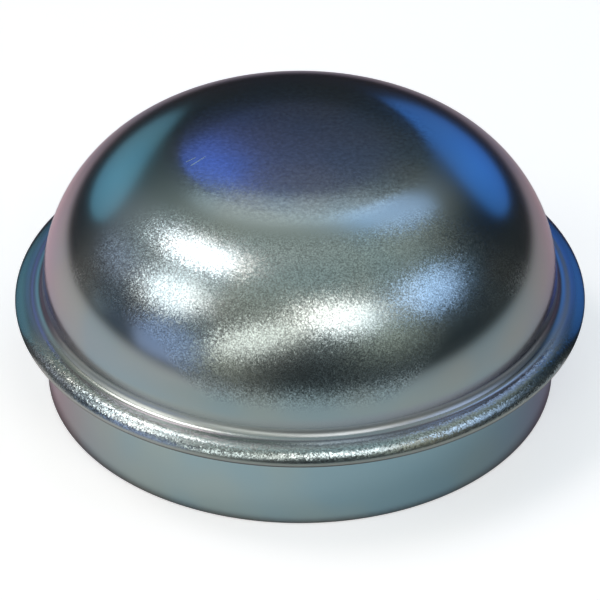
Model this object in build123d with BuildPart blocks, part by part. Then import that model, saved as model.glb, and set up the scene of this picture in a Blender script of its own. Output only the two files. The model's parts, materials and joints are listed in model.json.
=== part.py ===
from build123d import *

import os
from math import asin, cos, degrees, radians, tan

# Hub grease cap: one drawn cup of sheet steel, standing on its open rim.
# The wall is folded outwards on itself into a flat stop flange, so the cap is
# a single strip of constant thickness turned about the hub's axis (+Z).
# The origin is the centre of the open rim.

# Driving dimensions, in millimetres and degrees
sheet_thickness = 0.91
skirt_diameter = 50.3  # outside, a press fit in the hub's bore
skirt_length = 8.45  # from the open rim to the flange's seat
seat_width = 1.5  # flat of the flange that stops on the hub's face
fold_gap = 0.1  # slit left between the flange's two leaves
seat_bend = 0.3  # outside radius, skirt into flange
valley_bend = 0.95  # outside radius, flange into wall
wall_step = 0.15  # the wall's foot stands this far outside the skirt
wall_draft = 7.0  # lean of the wall towards the axis, in degrees
straight_wall = 1.33  # flat stretch of the wall below the shoulder
shoulder_radius = 14.75  # outside, wall into crown
crown_radius = 220.0  # outside, of the nearly flat crown
rim_lead_in = 0.3  # rounds the rim's outer edge, to start it in the bore
rim_inner_break = 0.25  # takes the burr off the rim's inner edge

# Radii and levels that follow from them
skirt_radius = skirt_diameter / 2
fold_radius = sheet_thickness + fold_gap / 2
fold_centre_radius = skirt_radius + seat_bend + seat_width
flange_top = skirt_length + 2 * fold_radius
draft = radians(wall_draft)
wall_turn = 90 - wall_draft
valley_radius = skirt_radius + wall_step + valley_bend * tan(radians(wall_turn / 2))

# The strip's section. Its outer face is drawn from the open rim to the middle
# of the crown, then thickened inwards by one sheet.
with BuildSketch(Plane.XZ) as section:
    with BuildLine():
        skirt = Line((skirt_radius, 0), (skirt_radius, skirt_length - seat_bend))
        seat_arc = JernArc(skirt @ 1, skirt % 1, seat_bend, -90)
        lower_leaf = Line(seat_arc @ 1, (fold_centre_radius, skirt_length))
        fold = JernArc(lower_leaf @ 1, lower_leaf % 1, fold_radius, 180)
        upper_leaf = Line(fold @ 1, (valley_radius, flange_top))
        valley_arc = JernArc(upper_leaf @ 1, upper_leaf % 1, valley_bend, -wall_turn)
        wall = PolarLine(valley_arc @ 1, straight_wall, direction=valley_arc % 1)
        # The crown's centre is on the axis, in line with the shoulder's centre
        # and the point where the two arcs meet.
        shoulder_centre = (wall @ 1).X - shoulder_radius * cos(draft)
        crown_turn = degrees(asin(shoulder_centre / (crown_radius - shoulder_radius)))
        shoulder = JernArc(wall @ 1, wall % 1, shoulder_radius, wall_turn - crown_turn)
        JernArc(shoulder @ 1, shoulder % 1, crown_radius, crown_turn)
        offset(amount=sheet_thickness, side=Side.LEFT)
    make_face()
    outer_rim_corner = section.vertices().group_by(Axis.Y)[0].sort_by(Axis.X)[-1]
    fillet(outer_rim_corner, rim_lead_in)
    inner_rim_corner = section.vertices().group_by(Axis.Y)[0].sort_by(Axis.X)[0]
    fillet(inner_rim_corner, rim_inner_break)

with BuildPart() as grease_cap:
    add(section.sketch)
    revolve(axis=Axis.Z)

grease_cap.part.label = "grease_cap"
os.makedirs("parts", exist_ok=True)
export_step(grease_cap.part, "parts/grease_cap.step")
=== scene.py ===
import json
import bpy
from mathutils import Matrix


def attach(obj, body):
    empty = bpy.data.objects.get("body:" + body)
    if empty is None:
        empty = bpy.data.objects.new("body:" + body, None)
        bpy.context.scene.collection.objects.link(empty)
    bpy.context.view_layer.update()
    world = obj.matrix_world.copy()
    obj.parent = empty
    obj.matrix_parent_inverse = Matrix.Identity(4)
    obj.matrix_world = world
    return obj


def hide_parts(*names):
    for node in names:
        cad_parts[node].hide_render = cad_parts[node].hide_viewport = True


bl_info = {
    "name": "Hub Grease Cap",
    "version": (1, 0, 0),
    "blender": (4, 5, 0),
    "location": "View3D > Sidebar > Grease Cap",
    "description": "A zinc-plated hub grease cap on a pale studio floor",
    "category": "Object",
}

from collections import namedtuple
from functools import reduce
from math import asin, cos, pi, radians, sin, tan
from operator import add, mul
from types import SimpleNamespace

import bmesh
import bpy
from bpy.props import FloatProperty, FloatVectorProperty, PointerProperty
from bpy.types import Operator, Panel, PropertyGroup
from mathutils import Matrix, Vector

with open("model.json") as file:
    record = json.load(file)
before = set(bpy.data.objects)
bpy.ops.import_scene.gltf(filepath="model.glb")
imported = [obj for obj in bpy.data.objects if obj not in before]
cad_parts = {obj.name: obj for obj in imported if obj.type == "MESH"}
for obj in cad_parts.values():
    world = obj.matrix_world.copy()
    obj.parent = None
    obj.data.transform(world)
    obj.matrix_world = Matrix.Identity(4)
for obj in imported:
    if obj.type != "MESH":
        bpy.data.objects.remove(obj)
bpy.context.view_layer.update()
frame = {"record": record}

MILLIMETRE = 0.001
FULL_TURN = 2 * pi
QUARTER_TURN = pi / 2
BLACK = (0.0, 0.0, 0.0)
OUTWARDS_ONLY = (1.0, 1.0, 0.0)
UPWARDS = (0.0, 0.0, 1.0)


def recorded_mount(name):
    """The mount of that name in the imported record."""
    for mount in frame["record"]["mounts"]:
        if mount["name"] == name:
            return mount
    raise LookupError("the record has no mount named " + name)


def length(name, description, millimetres):
    """A size that the user may change, with its default in millimetres."""
    return FloatProperty(
        name=name,
        description=description,
        default=millimetres * MILLIMETRE,
        min=0.0,
        precision=5,
        unit="LENGTH",
    )


def angle(name, description, degrees):
    """An angle that the user may change, with its default in degrees."""
    return FloatProperty(
        name=name,
        description=description,
        default=radians(degrees),
        unit="ROTATION",
    )


def factor(name, description, default):
    """A share from nothing to all."""
    return FloatProperty(
        name=name,
        description=description,
        default=default,
        min=0.0,
        max=1.0,
        subtype="FACTOR",
    )


def colour(name, description, default):
    """A linear colour that the user may change."""
    return FloatVectorProperty(
        name=name,
        description=description,
        default=default,
        size=3,
        min=0.0,
        max=1.0,
        subtype="COLOR",
    )


def slope(name, description, default):
    """A lean that the user may change, out from the axis and up."""
    return FloatVectorProperty(name=name, description=description, default=default, size=2)


class GreaseCapSizes(PropertyGroup):
    """Sizes of the drawn cup, measured on its outer face."""

    sheet: length("Sheet", "Thickness of the steel", 0.91)
    skirt_radius: length(
        "Skirt radius",
        "Outer radius of the skirt, a press fit in the hub",
        recorded_mount("skirt")["dims"]["r_mm"],
    )
    skirt_length: length(
        "Skirt length",
        "From the open rim to the flange's seat",
        recorded_mount("flange_seat")["pos_m"][2] / MILLIMETRE,
    )
    seat_width: length("Seat width", "Flat of the flange that stops on the hub", 1.5)
    fold_gap: length("Fold gap", "Slit between the flange's two leaves", 0.1)
    seat_bend: length("Seat bend", "Bend radius from the skirt into the flange", 0.3)
    valley_bend: length("Valley bend", "Bend radius from the flange into the wall", 0.95)
    wall_step: length("Wall step", "How far the wall's foot stands outside the skirt", 0.15)
    wall_draft: angle("Wall draft", "Lean of the wall towards the axis", 7.0)
    straight_wall: length("Straight wall", "Straight stretch below the shoulder", 1.33)
    shoulder_radius: length("Shoulder radius", "Bend radius from the wall into the crown", 14.75)
    crown_radius: length("Crown radius", "Radius of the nearly flat crown", 220.0)
    rim_lead_in: length("Rim lead-in", "Rounding of the rim's outer edge", 0.3)
    rim_inner_break: length("Rim inner break", "Rounding of the rim's inner edge", 0.25)


class GreaseCapFinish(PropertyGroup):
    """Colours and surface of the zinc plate."""

    plate: colour("Plate", "Zinc plate seen straight on", (0.37, 0.48, 0.50))
    plate_straw: colour("Straw patches", "Plate where its passivation is pale straw", (0.44, 0.48, 0.45))
    plate_blue: colour("Blue patches", "Plate where its passivation is blue", (0.33, 0.46, 0.53))
    # Painted reflection on the front of the flange: lighter and warmer on the left, bluer on the right
    flange_left_reflection: colour("Flange, left", "Passivation on the left of the flange", (0.45, 0.52, 0.49))
    flange_right_reflection: colour("Flange, right", "Passivation on the right of the flange", (0.38, 0.42, 0.5))
    # Painted reflection: the blue light that the flange's ends mirror
    side_left_reflection: colour("Flange end, left", "Passivation on the flange's left end", (0.28, 0.33, 0.6))
    side_right_reflection: colour("Flange end, right", "Passivation on the flange's right end", (0.22, 0.3, 0.48))
    # Dark tone: painted shade in the slit under the flange, and the darker crest at the fold's ends
    dark_tone: colour("Grime", "Dirt on the fold's ends and under the flange", (0.1, 0.11, 0.11))
    # Painted shade: a dark plum tone in the bend at the wall's foot
    foot_shade: colour("Plum", "Passivation in the bend at the wall's foot", (0.2, 0.12, 0.18))
    # Painted light: a pale tone that lightens the bend at the wall's foot in front
    foot_light: colour("Dust", "Pale dust in the bend at the front", (0.48, 0.57, 0.55))
    edge_tint: colour("Edge tint", "Tint of the clear passivation at a grazing look", (1.0, 0.7, 0.8))

    patch_size: length("Patch size", "Width of the passivation's patches", 9.0)
    patch_share: factor("Patch share", "How much the patches tint the plate", 0.5)
    # How much of the painted reflection covers the flange's front
    ring_reflection_share: factor("Ring share", "How much the flange's own tint covers its front", 0.7)
    # How much of the painted reflection covers the flange's ends
    ends_reflection_share: factor("Ends share", "How much the tint of the flange's ends covers them", 0.8)
    # How much the dark tone darkens the fold's crest at the ends
    crest_darkening: factor("Crest grime", "How much dirt covers the fold's ends", 0.5)
    # How much painted shade darkens the wall's foot at the sides
    foot_shade_share: factor("Foot plum", "How much plum covers the wall's foot at the sides", 0.6)
    # How much painted light lightens the wall's foot in front
    foot_light_share: factor("Foot dust", "How much dust covers the wall's foot in front", 0.2)
    # How much metal the painted shade under the flange takes away
    seat_shade_dulling: factor("Under side dulling", "How much metal the dirt under the flange hides", 0.9)

    grain_size: length("Grain size", "Width of the grains that drawing raises on the steel", 0.13)
    grain_tilt: factor("Grain tilt", "Slope of those grains", 0.06)
    grain_contrast: factor("Grain contrast", "Light and dark of the single grains", 0.4)
    grain_start: length("Grain start", "Height at which the grain starts, in the middle", 12.6)
    grain_full: length("Grain full", "Height from which the grain is full, in the middle", 14.2)
    grain_lift: length("Grain lift", "How much higher the grain starts at the sides", 4.2)
    crown_grain: factor("Crown grain", "Share of the grain that the crown's front keeps", 0.3)
    wear_size: length("Wear size", "Width of the worn spots on the crown", 0.4)
    wear_contrast: factor("Wear contrast", "Light and dark of the worn spots", 0.8)
    bead_grain_size: length("Bead grain size", "Width of the coarse grains on the fold", 0.13)
    bead_grain_tilt: factor("Bead grain tilt", "Slope of the grains on the fold", 0.27)
    bead_glint: factor("Bead glint", "Light and dark of the grains on the fold", 0.95)
    scratch_light: factor("Scratch light", "How much lighter the scratches are", 0.6)

    sheen: factor("Roughness", "Roughness of the plate", 0.19)
    crown_sheen: factor("Crown roughness", "Roughness of the crown", 0.16)
    valley_sheen: factor("Valley roughness", "Roughness of the valley above the flange", 0.25)
    flange_sheen: factor("Flange roughness", "Roughness of the worked flange", 0.2)
    grain_sheen: factor("Grain roughness", "Roughness that the grains add", 0.05)
    bead_sheen: factor("Bead roughness", "Roughness that the grains on the fold add", 0.05)
    ends_sheen: factor("Ends roughness", "Roughness that the flange's ends add", 0.1)
    foot_sheen: factor("Foot roughness", "Roughness that the wall's foot adds", 0.1)
    bead_low_sheen: factor("Low bead roughness", "Roughness that the fold's lower half adds", 0.16)
    # Roughness that the painted shade under the flange adds
    seat_shade_sheen: factor("Under side roughness", "Roughness that the dirt under the flange adds", 0.5)
    scratch_sheen: factor("Scratch roughness", "Roughness that the scratches add", 0.25)

    fold_ends: slope("Fold, ends", "Slope, out and up, that the fold takes on at the sides", (1.35, 2.67))
    fold_front: slope("Fold, front", "Slope, out and up, that the fold takes on in front", (0.54, 0.58))
    crown_ease: factor("Crown ease", "Extra slope that eases the crown into the shoulder", 0.05)


class GreaseCapStage(PropertyGroup):
    """Floor, light and camera."""

    floor: colour("Floor", "Colour of the floor", (0.76, 0.82, 0.84))
    floor_lift: factor("Floor lift", "Extra light on the floor that only the camera sees", 0.48)
    floor_radius: length("Floor radius", "Radius of the floor", 1200.0)
    # The floor as the cap mirrors it, in painted light and shade: lighter on the left, darker on the right
    # and behind, darker close by on the right
    left: colour("Left", "Floor on the left, as the cap mirrors it", (0.95, 0.9, 0.88))
    right: colour("Right", "Floor on the right, as the cap mirrors it", (0.73, 0.71, 0.68))
    ahead: colour("Ahead", "Floor in front, as the cap mirrors it", (0.74, 0.8, 0.79))
    beyond: colour("Beyond", "Floor behind, as the cap mirrors it", (0.46, 0.52, 0.52))
    close_left: colour("Close left", "Floor close by on the left", (0.88, 0.94, 0.94))
    close_right: colour("Close right", "Floor close by on the right", (0.6, 0.72, 0.75))
    # Painted shade: the floor falls dark far off
    far_shade: colour("Far", "Floor far off, as the cap mirrors it", (0.05, 0.05, 0.05))
    # Painted shadow on the floor under the cap
    shadow_beneath: colour("Beneath", "Floor under the cap", (0.35, 0.35, 0.35))
    # Painted glow: light that the floor gives off close by in front, which the camera doesn't see
    painted_glow: colour("Gleam", "Light of the floor close by in front", (0.05, 0.082, 0.098))
    haze: colour("Haze", "Light of the room low behind the camera", (0.006, 0.006, 0.006))
    backdrop: colour("Backdrop", "Backdrop that only the camera sees", (0.93, 0.93, 0.93))
    softbox_distance: length("Softbox distance", "From the cap to each soft light", 500.0)
    softbox_aim: length("Softbox aim", "Height that the soft lights look at", 15.0)
    camera_elevation: angle("Camera elevation", "Height of the camera over the horizon", 35.12)
    camera_distance: length("Camera distance", "From the camera to the cap", 270.3)
    aim_height: length("Aim height", "Height that the camera looks at", 7.77)


class Wire:
    """An output socket that can stand in Python arithmetic."""

    def __init__(self, bench, socket):
        self.bench = bench
        self.socket = socket

    def __add__(self, other):
        return self.bench.maths("ADD", self, other)

    def __radd__(self, other):
        return self.bench.maths("ADD", other, self)

    def __sub__(self, other):
        return self.bench.maths("SUBTRACT", self, other)

    def __rsub__(self, other):
        return self.bench.maths("SUBTRACT", other, self)

    def __mul__(self, other):
        return self.bench.maths("MULTIPLY", self, other)

    def __rmul__(self, other):
        return self.bench.maths("MULTIPLY", other, self)


class NodeBench:
    """Builds one node tree."""

    def __init__(self, tree):
        self.tree = tree
        tree.nodes.clear()

    def node(self, kind, settings=None, inputs=None, output=0):
        """A node of that kind: its settings first, then its sockets' values or links."""
        made = self.tree.nodes.new(kind)
        for name, value in (settings or {}).items():
            if name == "stops":
                self.set_stops(made.color_ramp, value)
            else:
                setattr(made, name, value)
        for key, value in (inputs or {}).items():
            if isinstance(value, Wire):
                self.tree.links.new(value.socket, made.inputs[key])
            else:
                made.inputs[key].default_value = value
        if not made.outputs:
            return None
        return Wire(self, made.outputs[output])

    def set_stops(self, ramp, stops):
        """Gives a ramp its stops, each a position and a colour."""
        while len(ramp.elements) < len(stops):
            ramp.elements.new(1.0)
        for element, (position, tone) in zip(ramp.elements, stops):
            element.position = position
            element.color = opaque(tone)

    def maths(self, operation, *operands):
        """A Math node on values."""
        return self.node("ShaderNodeMath", {"operation": operation}, dict(enumerate(operands)))

    def vector(self, operation, *operands, output=0, **sockets):
        """A Vector Math node."""
        inputs = {**dict(enumerate(operands)), **sockets}
        return self.node("ShaderNodeVectorMath", {"operation": operation}, inputs, output)

    def axes(self, source):
        """The three parts of a vector."""
        first = self.node("ShaderNodeSeparateXYZ", inputs={0: source})
        return [Wire(self, part) for part in first.socket.node.outputs]

    def rise(self, value, low, high):
        """Eases from 0 at low to 1 at high."""
        return self.node(
            "ShaderNodeMapRange",
            {"interpolation_type": "SMOOTHSTEP"},
            {"Value": value, "From Min": low, "From Max": high},
        )

    def masks(self, measures, parts):
        """A mask for each part, which eases from 0 to 1 over every border of the part."""
        made = {}
        for name, borders in parts.items():
            rises = [self.rise(measures[edge.measure], edge.outside, edge.inside) for edge in borders]
            made[name] = reduce(mul, rises)
        return SimpleNamespace(**made)

    def blend(self, share, under, over, mode="MIX"):
        """Mixes two colours."""
        return self.node(
            "ShaderNodeMix",
            {"data_type": "RGBA", "blend_type": mode},
            {0: share, 6: under, 7: over},
            output=2,
        )

    def grains(self, place, size):
        """A random vector for each grain of that size, from -0.5 to 0.5 on each axis."""
        lots = self.node(
            "ShaderNodeTexVoronoi",
            inputs={"Vector": place, "Scale": 1 / size},
            output="Color",
        )
        return self.vector("SUBTRACT", lots, (0.5, 0.5, 0.5))

    def speckle(self, place, size, detail, roughness=0.55):
        """Noise whose lumps are about that size."""
        return self.node(
            "ShaderNodeTexNoise",
            inputs={"Vector": place, "Scale": 1 / size, "Detail": detail, "Roughness": roughness},
        )


def opaque(tone):
    """A colour with its alpha."""
    return (*tone, 1.0)


Scratch = namedtuple("Scratch", "x y length turn")

# Light scratches on the crown: middle and length in millimetres, turn in degrees
SCRATCHES = (
    Scratch(-9.6, -2.5, 2.2, 48),
    Scratch(-10.3, -2.2, 1.3, 40),
)
SCRATCH_HALF_WIDTH = 0.07 * MILLIMETRE

# Shares of a scratch's squared half width and half length within which it shows in full
SCRATCH_CORE = 0.1
SCRATCH_TAPER = 0.6


def scratch_marks(bench, across, along):
    """Where the crown is scratched, seen from above."""
    marks = []
    for scratch in SCRATCHES:
        ahead = Vector((cos(radians(scratch.turn)), sin(radians(scratch.turn))))
        east = across - scratch.x * MILLIMETRE
        north = along - scratch.y * MILLIMETRE
        onward = east * ahead.x + north * ahead.y
        aside = north * ahead.x - east * ahead.y
        edge = SCRATCH_HALF_WIDTH**2
        end = (scratch.length * MILLIMETRE / 2) ** 2
        thin = bench.rise(aside * aside, edge, SCRATCH_CORE * edge)
        marks.append(thin * bench.rise(onward * onward, end, SCRATCH_TAPER * end))
    return reduce(add, marks)


Border = namedtuple("Border", "measure outside inside")

# Where each part of the cap is, by borders in metres from where it is not yet to where it is in full.
# Reach is the distance from the axis, and aside is the square of the distance to the left or right.
CAP_PARTS = {
    "sides": (Border("aside", 0.00005, 0.0002),),
    "right": (Border("across", -0.018, 0.018),),
    "drawn_front": (Border("along", -0.0075, -0.011),),
    "drawn_back": (Border("along", 0.010, 0.014), Border("height", 0.0225, 0.0210)),
    "dome": (Border("reach", 0.0136, 0.0156),),
    "crown": (Border("reach", 0.0140, 0.0110),),
    "crown_front": (Border("along", 0.001, -0.008),),
    "brim": (Border("reach", 0.0070, 0.0112), Border("reach", 0.0150, 0.0112)),
    "foot": (Border("height", 0.01052, 0.01068), Border("height", 0.0113, 0.0110)),
    "valley": (Border("height", 0.0124, 0.0116), Border("height", 0.0103, 0.0105)),
    "flange": (Border("height", 0.0105, 0.0103), Border("height", 0.0080, 0.0084)),
    "flange_front": (Border("along", -0.007, -0.014),),
    "flange_back": (Border("along", 0.012, 0.019),),
    "flange_near": (Border("along", -0.007, -0.016),),
    "leaf": (Border("height", 0.0099, 0.0102), Border("reach", 0.0272, 0.0266)),
    "crest": (Border("reach", 0.0262, 0.0270), Border("height", 0.0085, 0.0089)),
    "bead": (Border("reach", 0.0259, 0.0267), Border("height", 0.0092, 0.0097)),
    "bead_low": (Border("reach", 0.0264, 0.0271), Border("height", 0.0096, 0.0091)),
    "seat": (
        Border("reach", 0.02516, 0.02526),
        Border("height", 0.0092, 0.0088),
        Border("height", 0.0080, 0.0082),
    ),
}

# Size of the fine grain as a share of the coarse one
FINE_GRAIN = 0.7

# Levels of the patches' noise between which straw turns to blue, and the middle level of the wear's noise
PATCH_LEVELS = (0.35, 0.65)
WEAR_MIDDLE = 0.5


def zinc_plate(finish):
    """Bright zinc plate with a grain that is strongest where the sheet was stretched."""
    material = bpy.data.materials.new("zinc_plate")
    material.use_nodes = True
    bench = NodeBench(material.node_tree)
    place = bench.node("ShaderNodeTexCoord", output="Object")
    across, along, height = bench.axes(place)
    aside = across * across
    reach = bench.maths("SQRT", aside + along * along)
    measures = {"across": across, "along": along, "height": height, "aside": aside, "reach": reach}
    on = bench.masks(measures, CAP_PARTS)

    # The grain is on the front and the back, lowest in their middle, and the flange has its ends at the sides
    grain_height = height - finish.grain_lift * on.sides
    drawn = bench.rise(grain_height, finish.grain_start, finish.grain_full) * (on.drawn_front + on.drawn_back)
    front = on.flange_front + on.flange_back
    ends = 1 - front
    flange_top = on.flange * on.leaf
    bead = on.bead * front
    bead_low = on.bead_low * front
    # Painted light at the wall's foot in front
    lit_foot = finish.foot_light_share * on.foot * front
    scratches = scratch_marks(bench, across, along) * on.crown

    # Grain of the drawn sheet and coarse grain of the fold
    grain_share = drawn * on.dome + finish.crown_grain * on.crown * on.crown_front
    coarse = bench.grains(place, finish.grain_size)
    fine = bench.grains(place, finish.grain_size * FINE_GRAIN)
    fold = bench.grains(place, finish.bead_grain_size)
    lot, _, _ = bench.axes(fine)
    glint, _, _ = bench.axes(fold)
    sheet_slope = bench.vector("ADD", coarse, fine)
    sheet_slope = bench.vector("SCALE", sheet_slope, Scale=grain_share * finish.grain_tilt)
    fold_slope = bench.vector("SCALE", fold, Scale=bead * finish.bead_grain_tilt)

    # Soft border of the crown and flattened look of the fold
    end_out, end_up = finish.fold_ends
    front_out, front_up = finish.fold_front
    out = on.crest * (end_out + front * (front_out - end_out)) + on.brim * finish.crown_ease
    up = on.crest * (end_up + front * (front_up - end_up))
    outwards = bench.vector("NORMALIZE", bench.vector("MULTIPLY", place, OUTWARDS_ONLY))
    outwards = bench.vector("SCALE", outwards, Scale=out)
    upwards = bench.vector("SCALE", UPWARDS, Scale=up)

    grained = bench.node("ShaderNodeNewGeometry", output="Normal")
    for lean in (sheet_slope, fold_slope, outwards, upwards):
        grained = bench.vector("ADD", grained, lean)
    grained = bench.vector("NORMALIZE", grained)

    # Roughness of each part, and what grain, the painted shade under the flange and scratches add to it
    sheen = finish.sheen + on.crown * (finish.crown_sheen - finish.sheen)
    sheen += on.valley * (finish.valley_sheen - finish.sheen)
    sheen += on.flange * (finish.flange_sheen - finish.sheen)
    sheen += finish.grain_sheen * drawn
    sheen += finish.bead_sheen * bead
    sheen += finish.bead_low_sheen * bead_low
    sheen += finish.ends_sheen * (flange_top + on.valley) * ends
    sheen += finish.foot_sheen * on.foot
    sheen += finish.seat_shade_sheen * on.seat
    sheen += finish.scratch_sheen * scratches

    # Passivation in soft straw and blue patches, with light and dark grains, worn spots and scratches
    patches = bench.rise(bench.speckle(place, finish.patch_size, detail=1.0), *PATCH_LEVELS)
    tone = bench.blend(patches, opaque(finish.plate_straw), opaque(finish.plate_blue))
    tone = bench.blend(finish.patch_share, opaque(finish.plate), tone)
    wear = bench.speckle(place, finish.wear_size, detail=2.0) - WEAR_MIDDLE
    lightness = 1 + lot * grain_share * (2 * finish.grain_contrast)
    lightness += finish.wear_contrast * wear * on.crown
    lightness += finish.bead_glint * glint * bead
    lightness += finish.scratch_light * scratches
    tone = bench.vector("SCALE", tone, Scale=lightness)

    # Painted reflections on the flange and the fold, painted light and painted shade at the wall's foot,
    # painted shade under the flange, and a darker crest at the fold's ends
    # Painted reflection on the flange's front and the valley above it
    ring_reflection = bench.blend(on.right, opaque(finish.flange_left_reflection), opaque(finish.flange_right_reflection))
    tone = bench.blend(finish.ring_reflection_share * (flange_top + on.valley) * on.flange_near, tone, ring_reflection)
    # Painted reflection of blue light on the flange's ends
    sides = bench.blend(on.right, opaque(finish.side_left_reflection), opaque(finish.side_right_reflection))
    tone = bench.blend(finish.ends_reflection_share * flange_top * ends, tone, sides)
    # The fold's crest is darker at the ends
    tone = bench.blend(finish.crest_darkening * on.crest * ends, tone, opaque(finish.dark_tone))
    # Painted reflection: the fold's lower half in front is tinted straw, like the warm floor it mirrors
    tone = bench.blend(bead_low, tone, opaque(finish.plate_straw))
    # Painted shade in the bend at the wall's foot, at the sides
    tone = bench.blend(finish.foot_shade_share * on.foot * ends, tone, opaque(finish.foot_shade))
    # Painted light at the wall's foot in front
    tone = bench.blend(lit_foot, tone, opaque(finish.foot_light))
    # Painted shade in the slit under the flange
    tone = bench.blend(on.seat, tone, opaque(finish.dark_tone))
    # The painted shade under the flange and the painted light at the wall's foot take away metal
    metal = bench.node(
        "ShaderNodeBsdfPrincipled",
        inputs={
            "Base Color": tone,
            "Metallic": 1 - finish.seat_shade_dulling * on.seat - lit_foot,
            "Roughness": sheen,
            "Specular Tint": opaque(finish.edge_tint),
            "Normal": grained,
        },
    )
    bench.node("ShaderNodeOutputMaterial", inputs={"Surface": metal})
    return material


class SectionPen:
    """Draws the strip's section in the XZ plane, one run or bend after another."""

    def __init__(self, bm, x, z, heading):
        self.bm = bm
        self.heading = heading
        self.tip = bmesh.ops.create_vert(bm, co=(x, 0.0, z))["vert"][0]

    def run(self, distance, steps=1):
        """A straight run in equal steps."""
        step = Vector((cos(self.heading), 0.0, sin(self.heading))) * distance / steps
        self.sweep(self.tip.co, step, 0.0, steps)

    def bend(self, radius, turn, steps):
        """An arc that leaves the last stretch without a corner; a positive turn is to the left."""
        side = self.heading + (QUARTER_TURN if turn > 0 else -QUARTER_TURN)
        centre = self.tip.co + Vector((cos(side), 0.0, sin(side))) * radius
        self.sweep(centre, (0.0, 0.0, 0.0), turn, steps)
        self.heading += turn

    def sweep(self, centre, step, turn, steps):
        """Draws the tip along a line or about a centre, in the XZ plane."""
        swept = bmesh.ops.spin(
            self.bm,
            geom=[self.tip],
            cent=centre,
            axis=(0.0, -1.0, 0.0),
            dvec=step,
            angle=turn,
            steps=steps,
        )
        self.tip = next(part for part in swept["geom_last"] if isinstance(part, bmesh.types.BMVert))


# Steps of the outer face along each stretch of the section
SKIRT_STEPS = 18
SEAT_BEND_STEPS = 12
LEAF_STEPS = 5
FOLD_STEPS = 40
VALLEY_STEPS = 16
WALL_STEPS = 2
SHOULDER_STEPS = 60
CROWN_STEPS = 14
LEAD_IN_STEPS = 10
INNER_BREAK_STEPS = 6

# Share of those steps that each face takes, and steps round the axis
OUTER_FINENESS = 1.0
INNER_FINENESS = 0.5
TURN_STEPS = 288

# Distances within which points are merged, in metres
SECTION_MERGE = 1e-7
TURN_MERGE = 1e-6


def draw_face(pen, sizes, depth, rim_round, fineness):
    """One face of the strip, at a depth under the outer face, from the rim to the axis."""
    fold_radius = sizes.sheet + sizes.fold_gap / 2
    wall_turn = QUARTER_TURN - sizes.wall_draft
    fold_centre = sizes.skirt_radius + sizes.seat_bend + sizes.seat_width
    valley_start = sizes.skirt_radius + sizes.wall_step + sizes.valley_bend * tan(wall_turn / 2)
    wall_foot = valley_start - sizes.valley_bend * cos(sizes.wall_draft)
    wall_end = wall_foot - sizes.straight_wall * sin(sizes.wall_draft)
    shoulder_centre = wall_end - sizes.shoulder_radius * cos(sizes.wall_draft)
    crown_turn = asin(shoulder_centre / (sizes.crown_radius - sizes.shoulder_radius))

    pen.run(sizes.skirt_length - sizes.seat_bend - rim_round, round(SKIRT_STEPS * fineness))
    pen.bend(sizes.seat_bend + depth, -QUARTER_TURN, round(SEAT_BEND_STEPS * fineness))
    pen.run(sizes.seat_width, round(LEAF_STEPS * fineness))
    pen.bend(fold_radius - depth, pi, round(FOLD_STEPS * fineness))
    pen.run(fold_centre - valley_start, round(LEAF_STEPS * fineness))
    pen.bend(sizes.valley_bend + depth, -wall_turn, round(VALLEY_STEPS * fineness))
    pen.run(sizes.straight_wall, WALL_STEPS)
    pen.bend(sizes.shoulder_radius - depth, wall_turn - crown_turn, round(SHOULDER_STEPS * fineness))
    pen.bend(sizes.crown_radius - depth, crown_turn, round(CROWN_STEPS * fineness))


class GREASECAP_OT_cap(Operator):
    """Builds the grease cap in place of its plain solid"""

    bl_idname = "greasecap.cap"
    bl_label = "Build Cap"

    def execute(self, context):
        sizes = context.scene.grease_cap_sizes
        bm = bmesh.new()
        rim_start = sizes.skirt_radius - sizes.rim_lead_in
        rim_flat = sizes.sheet - sizes.rim_lead_in - sizes.rim_inner_break
        outer = SectionPen(bm, rim_start, 0.0, 0.0)
        outer.bend(sizes.rim_lead_in, QUARTER_TURN, LEAD_IN_STEPS)
        draw_face(outer, sizes, 0.0, sizes.rim_lead_in, OUTER_FINENESS)
        inner = SectionPen(bm, rim_start, 0.0, pi)
        inner.run(rim_flat)
        inner.bend(sizes.rim_inner_break, -QUARTER_TURN, INNER_BREAK_STEPS)
        draw_face(inner, sizes, sizes.sheet, sizes.rim_inner_break, INNER_FINENESS)
        bmesh.ops.remove_doubles(bm, verts=bm.verts, dist=SECTION_MERGE)
        bmesh.ops.spin(
            bm,
            geom=bm.verts[:] + bm.edges[:],
            cent=(0.0, 0.0, 0.0),
            axis=(0.0, 0.0, 1.0),
            angle=FULL_TURN,
            steps=TURN_STEPS,
            use_merge=True,
        )
        bmesh.ops.remove_doubles(bm, verts=bm.verts, dist=TURN_MERGE)
        bmesh.ops.recalc_face_normals(bm, faces=bm.faces)
        for face in bm.faces:
            face.smooth = True
        mesh = bpy.data.meshes.new("grease_cap_shell")
        bm.to_mesh(mesh)
        bm.free()
        mesh.materials.append(zinc_plate(context.scene.grease_cap_finish))
        shell = bpy.data.objects.new("grease_cap_shell", mesh)
        context.scene.collection.objects.link(shell)
        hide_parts("grease_cap")
        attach(shell, "root")
        return {"FINISHED"}


Softbox = namedtuple("Softbox", "name azimuth elevation across up roll spread tone radiance")

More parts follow.
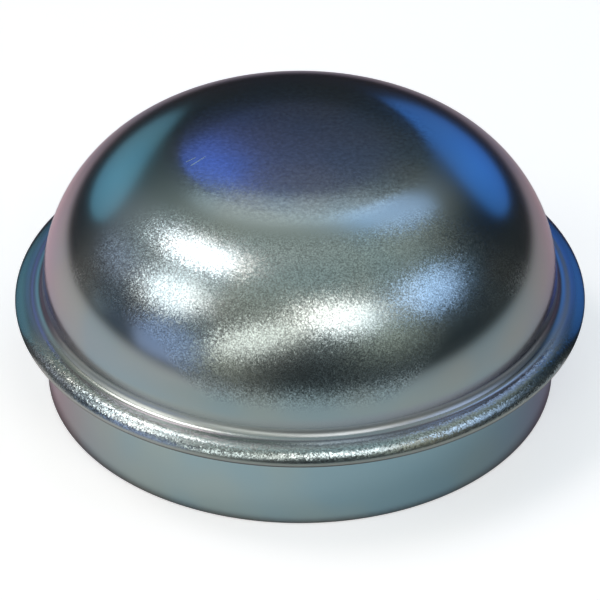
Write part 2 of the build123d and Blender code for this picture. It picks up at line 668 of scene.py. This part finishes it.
# Directions are in degrees as seen from the cap, azimuth 0 being the far side and 90 the right.
# A softbox with a narrow spread fades towards its edges.
SOFTBOXES = (
    Softbox("left key", -80, 62, 29, 18, 45, 180, (1.0, 0.83, 0.8), 4.8),
    Softbox("left lobe", -110, 39, 28, 25, 30, 75, (1.0, 0.86, 0.82), 3.6),
    Softbox("front streak", -159.5, 31, 44, 16.5, 40, 120, (1.0, 0.93, 0.87), 2.05),
    Softbox("front key", 158, 46.5, 32, 22, -25, 80, (1.0, 0.87, 0.83), 3.7),
    Softbox("right blue", 107, 38.5, 29, 25, -5, 100, (0.58, 0.69, 0.98), 1.7),
    Softbox("periwinkle", -122, 9, 31, 31, 0, 120, (0.62, 0.67, 1.0), 0.73),
    Softbox("teal", -34, 18.5, 41, 24, 8, 85, (0.3, 0.79, 1.0), 0.63),
    Softbox("blue", 30.5, 19, 43, 25.5, -2, 90, (0.07, 0.32, 1.0), 0.95),
    Softbox("violet", -8.5, 35.5, 8, 9, 0, 180, (0.08, 0.2, 1.0), 0.75),
    Softbox("arc left", -3, 51, 28, 18, 0, 90, (0.9, 0.94, 1.0), 0.55),
    Softbox("arc right", 28, 53, 25, 16, -10, 100, (0.36, 0.57, 1.0), 1.1),
)

Glow = namedtuple("Glow", "azimuth elevation width tone blend")

# Dark corners and soft glows of the room. The width is the angle at which one has faded to a third.
GLOWS = (
    Glow(62, 36, 15, (0.15, 0.2, 0.25), "MULTIPLY"),
    Glow(178, 3, 12, (0.2, 0.2, 0.2), "MULTIPLY"),
    Glow(-54, 33, 15, (0.2, 0.17, 0.17), "ADD"),
    Glow(-70, 5, 13, (0.1, 0.085, 0.075), "ADD"),
    Glow(-146, 9, 12, (0.43, 0.39, 0.31), "ADD"),
    Glow(137, 28, 15, (0.5, 0.44, 0.32), "ADD"),
    Glow(80, 10, 14, (0.03, 0.02, 0.01), "ADD"),
    Glow(-97, 4, 13, (0.05, 0.06, 0.09), "ADD"),
    Glow(-84, 2, 5, (0.25, 0.25, 0.25), "ADD"),
    Glow(-76, 27, 9.5, (0.46, 0.43, 0.53), "ADD"),
    Glow(-3, 36, 7, (0.04, 0.042, 0.185), "ADD"),
    Glow(0, 82, 11, (0.16, 0.11, 0.08), "ADD"),
    Glow(65, 63, 9, (0.13, 0.13, 0.11), "ADD"),
)

# Light of the room from the horizon, at 0, to overhead, at 1
ROOM_STOPS = (
    (0.0, (0.03, 0.034, 0.037)),
    (0.42, (0.027, 0.036, 0.04)),
    (0.56, (0.074, 0.088, 0.083)),
    (0.68, (0.21, 0.215, 0.19)),
    (0.78, (0.33, 0.33, 0.29)),
    (0.87, (0.39, 0.41, 0.37)),
    (1.0, (0.34, 0.42, 0.43)),
)

# Where the room's haze is, by the parts of a unit vector towards it
ROOM_PARTS = {
    "hazy": (Border("depth", 0.1, -0.8), Border("height", 0.6, 0.3)),
}

# Where the floor's painted light and shade change, by borders in metres. Gap is the distance from the cap's
# axis, reach the same with the left and right drawn in, and aside the square of the distance to the left or
# right.
FLOOR_PARTS = {
    "right": (Border("across", -0.06, 0.06),),
    "close_right": (Border("across", -0.03, 0.03),),
    "close": (Border("gap", 0.055, 0.035),),
    "ahead": (Border("along", -0.02, -0.06), Border("aside", 0.005, 0.0005)),
    "beyond": (Border("along", 0.03, 0.09), Border("aside", 0.006, 0.0015)),
    "far_shade": (Border("reach", 0.06, 0.25),),
    "shadow_beneath": (Border("gap", 0.0264, 0.0252),),
    "gleaming": (Border("along", 0.0, -0.03), Border("gap", 0.055, 0.035), Border("gap", 0.0252, 0.0264)),
}
SIDES_DRAWN_IN = 0.6
FLOOR_SEGMENTS = 128

# The camera's sensor and focal length are in millimetres, its clipping distances in metres
SENSOR_WIDTH = 36.0
FOCAL_LENGTH = 164.4
CLIP_START = 0.01
CLIP_END = 10.0


def direction(azimuth, elevation):
    """Unit vector from the cap towards an azimuth and an elevation, in degrees."""
    a = radians(azimuth)
    e = radians(elevation)
    return Vector((sin(a) * cos(e), cos(a) * cos(e), sin(e)))


def hang_softbox(box, distance, target):
    """An elliptical area light that looks at the cap."""
    light = bpy.data.lights.new(box.name, "AREA")
    light.shape = "ELLIPSE"
    light.size = 2 * distance * tan(radians(box.across) / 2)
    light.size_y = 2 * distance * tan(radians(box.up) / 2)
    light.color = box.tone
    light.spread = radians(box.spread)
    half_spread = radians(box.spread) / 2
    area = light.size * light.size_y * pi / 4
    light.energy = box.radiance * pi * area * (1 - half_spread / tan(half_spread))
    lamp = bpy.data.objects.new(box.name, light)
    towards = direction(box.azimuth, box.elevation)
    turn = towards.to_track_quat("Z", "Y").to_matrix().to_4x4()
    roll = Matrix.Rotation(radians(box.roll), 4, "Z")
    lamp.matrix_world = Matrix.Translation(target + towards * distance) @ turn @ roll
    bpy.context.scene.collection.objects.link(lamp)


def studio_world(stage):
    """Dim surround that is lighter overhead, with glows. The camera sees a pale backdrop instead."""
    world = bpy.data.worlds.new("studio")
    world.use_nodes = True
    bench = NodeBench(world.node_tree)
    look = bench.node("ShaderNodeTexCoord", output="Generated")
    _, depth, height = bench.axes(look)
    on = bench.masks({"depth": depth, "height": height}, ROOM_PARTS)
    tones = bench.node("ShaderNodeValToRGB", {"stops": ROOM_STOPS}, {"Fac": height})
    tones = bench.blend(on.hazy, tones, opaque(stage.haze), "ADD")
    for glow in GLOWS:
        middle = direction(glow.azimuth, glow.elevation)
        nearness = bench.vector("DOT_PRODUCT", look, middle, output="Value")
        sharpness = 1 / (1 - cos(radians(glow.width)))
        share = bench.maths("EXPONENT", (nearness - 1) * sharpness)
        tones = bench.blend(share, tones, opaque(glow.tone), glow.blend)
    seen = bench.node("ShaderNodeLightPath", output="Is Camera Ray")
    shown = bench.blend(seen, tones, opaque(stage.backdrop))
    backdrop = bench.node("ShaderNodeBackground", inputs={"Color": shown})
    bench.node("ShaderNodeOutputWorld", inputs={"Surface": backdrop})
    return world


def floor_paper(stage):
    """Plain pale paper for the camera. The cap mirrors it in painted light and shade: lighter on the left,
    darker on the right and behind, a painted shadow under the cap, a painted glow close by in front, and dark
    far off.
    """
    material = bpy.data.materials.new("floor")
    material.use_nodes = True
    bench = NodeBench(material.node_tree)
    place = bench.node("ShaderNodeTexCoord", output="Object")
    across, along, _ = bench.axes(place)
    aside = across * across
    drawn_in = SIDES_DRAWN_IN * across
    gap = bench.maths("SQRT", aside + along * along)
    reach = bench.maths("SQRT", drawn_in * drawn_in + along * along)
    measures = {"across": across, "along": along, "aside": aside, "gap": gap, "reach": reach}
    on = bench.masks(measures, FLOOR_PARTS)

    # Painted light and shade of the floor as the cap mirrors it
    mirrored_light = bench.blend(on.right, opaque(stage.left), opaque(stage.right))
    mirrored_light = bench.blend(on.ahead, mirrored_light, opaque(stage.ahead))
    close = bench.blend(on.close_right, opaque(stage.close_left), opaque(stage.close_right))
    mirrored_light = bench.blend(on.close, mirrored_light, close)
    mirrored_light = bench.blend(on.beyond, mirrored_light, opaque(stage.beyond))
    mirrored_light = bench.blend(on.far_shade, mirrored_light, opaque(stage.far_shade))
    # Painted shadow under the cap
    mirrored_light = bench.blend(on.shadow_beneath, mirrored_light, opaque(stage.shadow_beneath))
    # Painted glow close by in front, for all rays but the camera's
    painted_glow = bench.blend(on.gleaming, opaque(BLACK), opaque(stage.painted_glow))
    lift = opaque([stage.floor_lift] * 3)
    seen = bench.node("ShaderNodeLightPath", output="Is Camera Ray")
    paper = bench.node(
        "ShaderNodeBsdfPrincipled",
        inputs={
            "Base Color": bench.blend(seen, mirrored_light, opaque(stage.floor)),
            "Roughness": 0.8,
            "Specular IOR Level": 0.1,
            "Emission Color": bench.blend(seen, painted_glow, lift),
            "Emission Strength": 1.0,
        },
    )
    bench.node("ShaderNodeOutputMaterial", inputs={"Surface": paper})
    return material


class GREASECAP_OT_stage(Operator):
    """Sets up the camera, the floor and the soft lights"""

    bl_idname = "greasecap.stage"
    bl_label = "Set Stage"

    def execute(self, context):
        scene = context.scene
        stage = scene.grease_cap_stage
        aim = Vector((0.0, 0.0, stage.aim_height))
        back = Vector((0.0, -cos(stage.camera_elevation), sin(stage.camera_elevation)))
        lens = bpy.data.cameras.new("camera")
        lens.sensor_width = SENSOR_WIDTH
        lens.lens = FOCAL_LENGTH
        lens.clip_start = CLIP_START
        lens.clip_end = CLIP_END
        camera = bpy.data.objects.new("camera", lens)
        camera.location = aim + back * stage.camera_distance
        camera.rotation_euler = (-back).to_track_quat("-Z", "Y").to_euler()
        scene.collection.objects.link(camera)
        scene.camera = camera

        bm = bmesh.new()
        bmesh.ops.create_circle(bm, cap_ends=True, segments=FLOOR_SEGMENTS, radius=stage.floor_radius)
        mesh = bpy.data.meshes.new("floor")
        bm.to_mesh(mesh)
        bm.free()
        mesh.materials.append(floor_paper(stage))
        floor = bpy.data.objects.new("floor", mesh)
        scene.collection.objects.link(floor)

        target = Vector((0.0, 0.0, stage.softbox_aim))
        for box in SOFTBOXES:
            hang_softbox(box, stage.softbox_distance, target)
        scene.world = studio_world(stage)
        scene.view_settings.view_transform = "Standard"
        return {"FINISHED"}


class GREASECAP_PT_sidebar(Panel):
    """Lists the cap's settings and the steps that build it"""

    bl_idname = "GREASECAP_PT_sidebar"
    bl_label = "Grease Cap"
    bl_space_type = "VIEW_3D"
    bl_region_type = "UI"
    bl_category = "Grease Cap"

    def draw(self, context):
        column = self.layout.column()
        column.operator(GREASECAP_OT_stage.bl_idname)
        column.operator(GREASECAP_OT_cap.bl_idname)
        for group in GROUPS.values():
            settings = getattr(context.scene, group)
            for name in settings.__annotations__:
                column.prop(settings, name)


GROUPS = {
    GreaseCapSizes: "grease_cap_sizes",
    GreaseCapFinish: "grease_cap_finish",
    GreaseCapStage: "grease_cap_stage",
}
CLASSES = (*GROUPS, GREASECAP_OT_stage, GREASECAP_OT_cap, GREASECAP_PT_sidebar)


def register():
    """Adds the settings, the operators and the panel."""
    for part in CLASSES:
        bpy.utils.register_class(part)
    for group, name in GROUPS.items():
        setattr(bpy.types.Scene, name, PointerProperty(type=group))


def unregister():
    """Takes them away again."""
    for name in GROUPS.values():
        delattr(bpy.types.Scene, name)
    for part in reversed(CLASSES):
        bpy.utils.unregister_class(part)


def main():
    """Builds the stage and the cap."""
    register()
    bpy.ops.greasecap.stage()
    bpy.ops.greasecap.cap()


if __name__ == "__main__":
    main()
